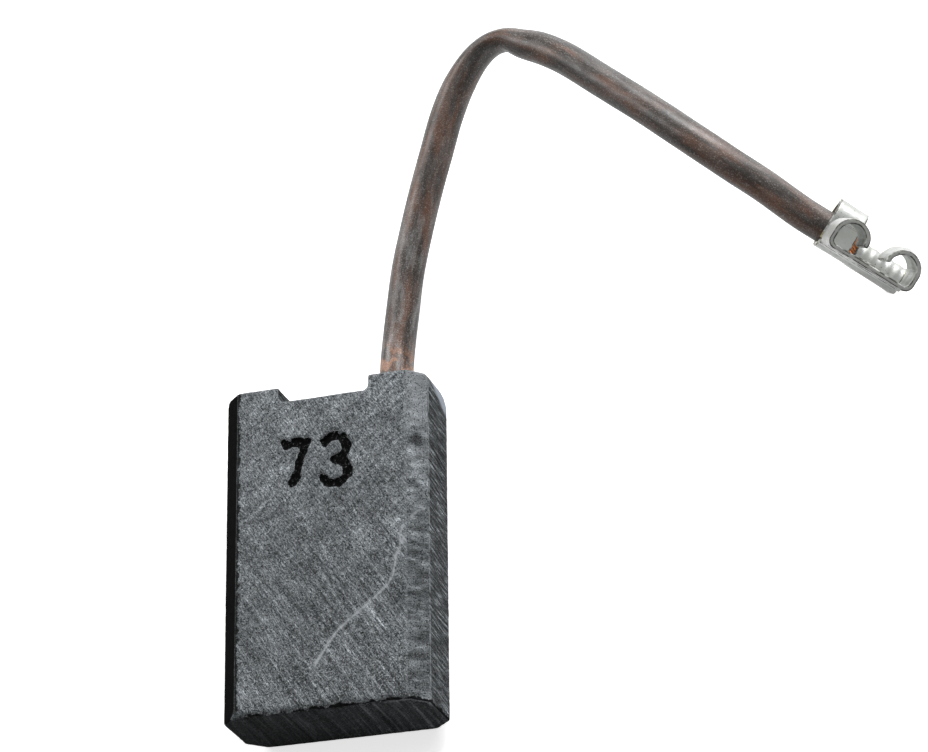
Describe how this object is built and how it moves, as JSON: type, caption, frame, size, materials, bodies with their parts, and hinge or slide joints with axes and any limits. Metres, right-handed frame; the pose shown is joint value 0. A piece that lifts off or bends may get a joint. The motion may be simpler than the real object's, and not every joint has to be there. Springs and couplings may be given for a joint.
{
  "type": "carbon brush",
  "caption": "Carbon-graphite motor brush block with chamfered long edges and a spring notch, a sleeved flexible copper lead and a tin-plated flag receptacle.",
  "frame": {"origin": "middle of the block's back face, which is what it lies on", "axes": "+Z out of the front face, +Y along the length towards the end that the lead leaves by, -Y out of the run face, +X towards the lead's horn"},
  "size_m": [0.0618, 0.0591, 0.0167],
  "materials": {
    "carbon_graphite": "matt, finely pitted, ground",
    "tamping_powder": "matt, pressed powder",
    "stranded_copper": "bright stranded copper",
    "sleeve": "satin, smoky, slightly see-through",
    "tinned_brass": "dull tin plate, brass at the cut edges"
  },
  "bodies": {
    "root": {"carbon_block": "carbon_graphite", "tamping_plug": "tamping_powder", "copper_strand": "stranded_copper", "insulating_sleeve": "sleeve", "flag_terminal": "tinned_brass"}
  },
  "joints": []
}
